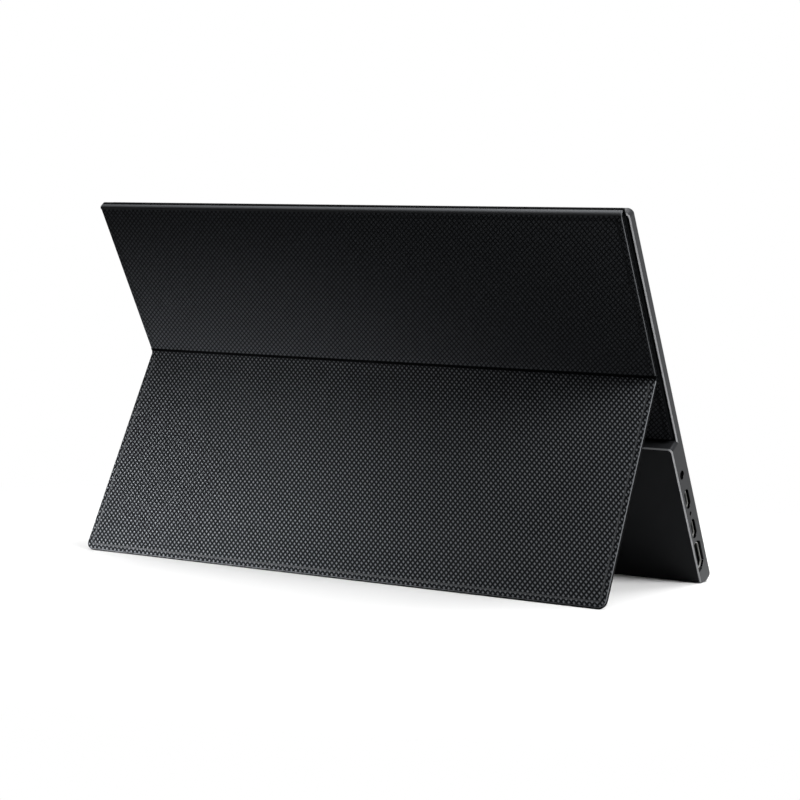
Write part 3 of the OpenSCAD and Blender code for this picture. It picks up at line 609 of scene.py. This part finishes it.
def anodised_aluminium():
    """Aluminium, bead-blasted and dyed dark in the anodising bath: an even dark satin with a fine grain, which is
    too fine to show from afar. Its chamfers are coloured light, a painted highlight along the edges, and painted
    shade colours the walls of the port openings black. Its reflections are weaker than real ones, because the
    surroundings are white."""
    material, tree, shader = new_material("dark_anodised_aluminium", "#2d2e30", 0.32, 0.3,
                                          Specular_IOR_Level=0.04)
    where = add(tree, POSITION, output="Object")
    facing = add(tree, "ShaderNodeNewGeometry", output="True Normal")
    rear = add(tree, VECTORS, {0: facing, 1: REARWARD}, "Value", operation="DOT_PRODUCT")
    past_side = add(tree, MATH, {0: rear, 1: 0.45}, operation="GREATER_THAN")
    before_rear = add(tree, MATH, {0: rear, 1: 0.9}, operation="LESS_THAN")
    slanted = add(tree, MATH, {0: past_side, 1: before_rear}, operation="MULTIPLY")
    grain = add(tree, NOISE, {"Vector": where, "Scale": 1 / (0.25 * MM), "Detail": 3.0})
    cloud = add(tree, NOISE, {"Vector": where, "Scale": 1 / (45 * MM), "Detail": 2.0})
    dyed = add(tree, MIX, {"Factor": cloud, "A": linear("#2a2b2d"), "B": linear("#303133")}, "Result",
               data_type="RGBA")
    # Painted highlight: the chamfers between the rear face and the sides and ends are coloured light
    tone = add(tree, MIX, {"Factor": slanted, "A": dyed, "B": linear("#a8a9ab")}, "Result",
               data_type="RGBA")
    # A box round the openings of the ports, in the monitor's own directions, in which painted shade colours the
    # walls black
    lip = MONITOR @ (Vector((PORT_X - OPENING_LIP, PORT_DEPTH, 0)) * MM)
    from_port = add(tree, VECTORS, {0: where, 1: lip}, operation="SUBTRACT")
    inward = add(tree, SPLIT, {0: from_port}, "X")
    depth = add(tree, VECTORS, {0: from_port, 1: REARWARD}, "Value", operation="DOT_PRODUCT")
    height = add(tree, VECTORS, {0: from_port, 1: UPWARD}, "Value", operation="DOT_PRODUCT")
    half_in = OPENING_IN / 2 * MM
    lowest, highest = OPENING_HEIGHTS
    in_reach = add(tree, MATH, {0: inward, 1: half_in, 2: half_in}, operation="COMPARE")
    in_depth = add(tree, MATH, {0: depth, 1: 0.0, 2: OPENING_DEPTH * MM}, operation="COMPARE")
    in_height = add(tree, MATH, {0: height, 1: (highest + lowest) / 2 * MM, 2: (highest - lowest) / 2 * MM},
                    operation="COMPARE")
    in_slot = add(tree, MATH, {0: in_reach, 1: in_depth}, operation="MULTIPLY")
    opening_shade = add(tree, MATH, {0: in_slot, 1: in_height}, operation="MULTIPLY")
    # Painted shade: the metal walls of the port openings are coloured black
    colour = add(tree, MIX, {"Factor": opening_shade, "A": tone, "B": linear("#0a0a0b")}, "Result",
                 data_type="RGBA")
    tree.links.new(colour, shader.inputs["Base Color"])
    rough = add(tree, MATH, {0: cloud, 1: 0.06, 2: 0.27}, operation="MULTIPLY_ADD")
    tree.links.new(rough, shader.inputs["Roughness"])
    bump = add(tree, BUMP, {"Height": grain, "Strength": 0.12, "Distance": 0.02 * MM})
    tree.links.new(bump, shader.inputs["Normal"])
    return material


def speckled(name, dark, light, rough, grain_mm, bump_mm, metallic=0.0, **sockets):
    """A surface with a fine grain between two tones and a slight relief."""
    material, tree, shader = new_material(name, dark, rough, metallic, **sockets)
    where = add(tree, POSITION, output="Object")
    grain = add(tree, NOISE, {"Vector": where, "Scale": 1 / (grain_mm * MM), "Detail": 3.0})
    tone = add(tree, MIX, {"Factor": grain, "A": linear(dark), "B": linear(light)}, "Result",
               data_type="RGBA")
    tree.links.new(tone, shader.inputs["Base Color"])
    bump = add(tree, BUMP, {"Height": grain, "Strength": 0.3, "Distance": bump_mm * MM})
    tree.links.new(bump, shader.inputs["Normal"])
    return material


def port_shell():
    """Nickel-plated steel around a port, bright at its mouth, with painted shade further in."""
    material, tree, shader = new_material("nickel_plated_port_shell", "#a2a2a0", 0.3, 0.4,
                                          Specular_IOR_Level=0.15)
    where = add(tree, POSITION, output="Object")
    across = add(tree, SPLIT, {0: where}, "X")
    inward = add(tree, RANGE, {"Value": across, "From Min": (PORT_X + SHELL_BRIGHT) * MM,
                               "From Max": (PORT_X + SHELL_SHADED) * MM}, interpolation_type="SMOOTHSTEP")
    grain = add(tree, NOISE, {"Vector": where, "Scale": 1 / (0.5 * MM), "Detail": 3.0})
    plating = add(tree, MIX, {"Factor": grain, "A": linear("#c4c4c2"), "B": linear("#d8d8d5")}, "Result",
                  data_type="RGBA")
    # Painted shade: the shell turns near black further into the port
    tone = add(tree, MIX, {"Factor": inward, "A": plating, "B": linear("#0a0a0a")}, "Result",
               data_type="RGBA")
    tree.links.new(tone, shader.inputs["Base Color"])
    rough = add(tree, MATH, {0: inward, 1: 0.4, 2: 0.3}, operation="MULTIPLY_ADD")
    tree.links.new(rough, shader.inputs["Roughness"])
    return material


def finishes():
    """One material for each material slot of the record. The grain of each is given in millimetres."""
    return {
        "housing_metal": anodised_aluminium(),
        # Moulded ABS with a spark-eroded texture: near black, with a faint satin sheen
        "bezel_plastic": speckled("moulded_abs_bezel", "#0b0b0c", "#121214", 0.45, 0.3, 0.02,
                                  Specular_IOR_Level=0.25),
        # Glass over a dark liquid-crystal cell, with a matt anti-glare face: black, with blurred reflections
        "screen_glass": speckled("anti_glare_glass", "#040405", "#060608", 0.16, 0.4, 0.004,
                                 Specular_IOR_Level=0.12),
        # Cast acrylic, polished: almost colourless and shiny. It isn't see-through, being inside the housing.
        "clear_acrylic": speckled("clear_acrylic", "#dfe6e8", "#eef2f3", 0.1, 3.0, 0.005, IOR=1.49),
        # Smoked acrylic, moulded: a black, smooth spot
        "smoked_acrylic": speckled("smoked_acrylic", "#0a0a0b", "#101012", 0.2, 2.0, 0.005,
                                   Specular_IOR_Level=0.1),
        # Stretched polyester film: an even, half-matt white
        "white_film": speckled("white_polyester_film", "#e6e6e2", "#f2f2ef", 0.5, 2.0, 0.01),
        # Green solder mask, printed over glass fibre: a satin dark green with a faint mottle
        "circuit_board": speckled("solder_mask_over_glass_fibre", "#0d3a22", "#12482b", 0.35, 0.6, 0.02),
        # Moulded polycarbonate: a deep, half-matt black
        "black_plastic": speckled("moulded_black_polycarbonate", "#060607", "#0b0b0c", 0.5, 0.3, 0.02,
                                  Specular_IOR_Level=0.05),
        # Polyimide film laminated over copper: a satin amber
        "ribbon": speckled("polyimide_ribbon", "#a0703a", "#b8864a", 0.35, 1.0, 0.01),
        # Closed-cell foam, die-cut: a dull dark grey with small pores
        "foam": speckled("closed_cell_foam", "#1a1a1b", "#262628", 0.9, 0.4, 0.1),
        "port_shell": port_shell(),
        # Nickel plated on stamped steel: pale and shiny
        "plated_steel": speckled("nickel_plated_steel", "#9a9a98", "#b4b4b1", 0.28, 0.5, 0.005, 1.0),
        # Moulded silicone rubber: a matt black that hardly shines
        "foot_rubber": speckled("moulded_silicone_rubber", "#101011", "#18181a", 0.7, 0.5, 0.03),
        # Pressed glass-fibre sheet: a dull, mottled grey
        "stiffener": speckled("glass_fibre_sheet", "#4a4a46", "#5a5a55", 0.6, 1.2, 0.03),
        # Brushed microfibre: a dark nap that turns a little lighter where it is seen from the side
        "cover_backing": speckled("brushed_microfibre", "#15161a", "#202227", 0.85, 0.35, 0.05,
                                  Sheen_Weight=0.25),
    }


OWN_FINISH = {"light_pipe": "smoked_acrylic", "usb_c_upper": "port_shell", "usb_c_lower": "port_shell",
              "hdmi_port": "port_shell"}


def dress_frame(leather):
    """Gives every CAD node the material of its slot."""
    materials = finishes()
    materials["cover_leather"] = leather
    for part in frame["record"]["subparts"]:
        node = NODES[part["node"]]
        node.data.materials.clear()
        node.data.materials.append(materials[OWN_FINISH.get(part["node"], part["material_slot"])])
    return materials


# ---------------------------------------------------------------- light, floor and camera

SHADOW_END = 0.17      # metres from the object's middle at which the floor begins to turn plain white
WHITE_FROM = 0.42      # and at which it is white
SOFT_WORLD = 0.06


def seen_directly(tree):
    """1 for what the camera, a reflection or clear plastic shows, and 0 for light that bounces."""
    path = add(tree, "ShaderNodeLightPath").node.outputs
    mirrored = add(tree, MATH, {0: path["Is Glossy Ray"], 1: path["Is Transmission Ray"]},
                   operation="MAXIMUM")
    return add(tree, MATH, {0: path["Is Camera Ray"], 1: mirrored}, operation="MAXIMUM")


def stage_material():
    """A plain pale floor, which keeps the object's shadow and is plain white away from it."""
    material, tree, shader = new_material("pale_floor", "#f6f6f6", 0.9, Specular_IOR_Level=0.0)
    seen = seen_directly(tree)
    tone = add(tree, MIX, {"Factor": seen, "A": linear("#404040"), "B": linear("#fcfcfc")}, "Result",
               data_type="RGBA")
    tree.links.new(tone, shader.inputs["Base Color"])
    where = add(tree, POSITION, output="Object")
    away = add(tree, VECTORS, {0: where}, "Value", operation="LENGTH")
    far = add(tree, RANGE, {"Value": away, "From Min": SHADOW_END, "From Max": WHITE_FROM},
              interpolation_type="SMOOTHSTEP")
    white = add(tree, "ShaderNodeEmission", {"Color": linear("#ffffff"), "Strength": 1.0})
    plain = add(tree, MATH, {0: far, 1: seen}, operation="MULTIPLY")
    both = add(tree, "ShaderNodeMixShader", {0: plain, 1: shader.outputs[0], 2: white})
    tree.links.new(both, tree.nodes["Material Output"].inputs["Surface"])
    return material


def lamp(name, place, target, size, power, spread=180):
    clear_selection()
    bpy.ops.object.light_add(type="AREA", location=place)
    light = bpy.context.object
    light.name = name
    light.data.size = size
    light.data.energy = power
    light.data.spread = math.radians(spread)
    light.rotation_euler = (Vector(target) - Vector(place)).to_track_quat("-Z", "Y").to_euler()


def light_and_floor():
    clear_selection()
    bpy.ops.mesh.primitive_plane_add(size=14, location=(0, 0, 0))
    floor = bpy.context.object
    floor.name = "floor"
    floor.data.materials.append(stage_material())
    world = bpy.data.worlds.new("studio")
    bpy.context.scene.world = world
    world.use_nodes = True
    tree = world.node_tree
    tree.nodes.clear()
    soft = add(tree, "ShaderNodeBackground", {"Color": linear("#ffffff"), "Strength": SOFT_WORLD})
    white = add(tree, "ShaderNodeBackground", {"Color": linear("#ffffff"), "Strength": 1.0})
    both = add(tree, "ShaderNodeMixShader", {0: seen_directly(tree), 1: soft, 2: white})
    add(tree, "ShaderNodeOutputWorld", {0: both})
    lamp("overhead", place=(0, -0.43, 1.3), target=(0, 0, 0), size=1.3, power=24)
    lamp("leg_light", place=(0.33, 0.45, 0.04), target=(0.13, 0.06, -0.07), size=0.25, power=0.5, spread=38)
    lamp("ports_side", place=(-0.62, 0.06, 0.46), target=(-0.14, -0.02, 0.02), size=0.4, power=4.6)


def photo_camera():
    """The photograph's viewpoint. Direction, distance and roll were fitted to the object's corners, and the
    lens was then lengthened by 0.24 % until the outline met the photograph's."""
    azimuth, elevation, roll = (math.radians(a) for a in (210.187, 3.151, 1.924))
    target = Vector((-0.00866, 0.01266, 0.08618))
    distance = 1.0519
    back = Vector((math.sin(azimuth) * math.cos(elevation), -math.cos(azimuth) * math.cos(elevation),
                   math.sin(elevation)))
    right = Vector((math.cos(azimuth), math.sin(azimuth), 0))
    up = back.cross(right)
    turned_right = right * math.cos(roll) + up * math.sin(roll)
    turned_up = up * math.cos(roll) - right * math.sin(roll)
    clear_selection()
    bpy.ops.object.camera_add()
    camera = bpy.context.object
    camera.name = "photo_camera"
    rotation = Matrix((turned_right, turned_up, back)).transposed().to_4x4()
    camera.matrix_world = Matrix.Translation(target + back * distance) @ rotation
    camera.data.lens = 93.33
    camera.data.sensor_width = 36
    bpy.context.scene.camera = camera


bpy.context.scene.view_settings.view_transform = "Standard"
leather = embossed_leather()
finish = dress_frame(leather)
# Gold plated on stamped bronze: a warm, shiny yellow
gold_contacts = speckled("gold_plated_bronze", "#b08d3a", "#c8a44c", 0.25, 0.3, 0.003, 1.0)
cover_panels(leather, finish["cover_backing"])
spine_folds(leather)
crease_folds(leather)
port_contacts(finish["black_plastic"], gold_contacts)
light_and_floor()
photo_camera()
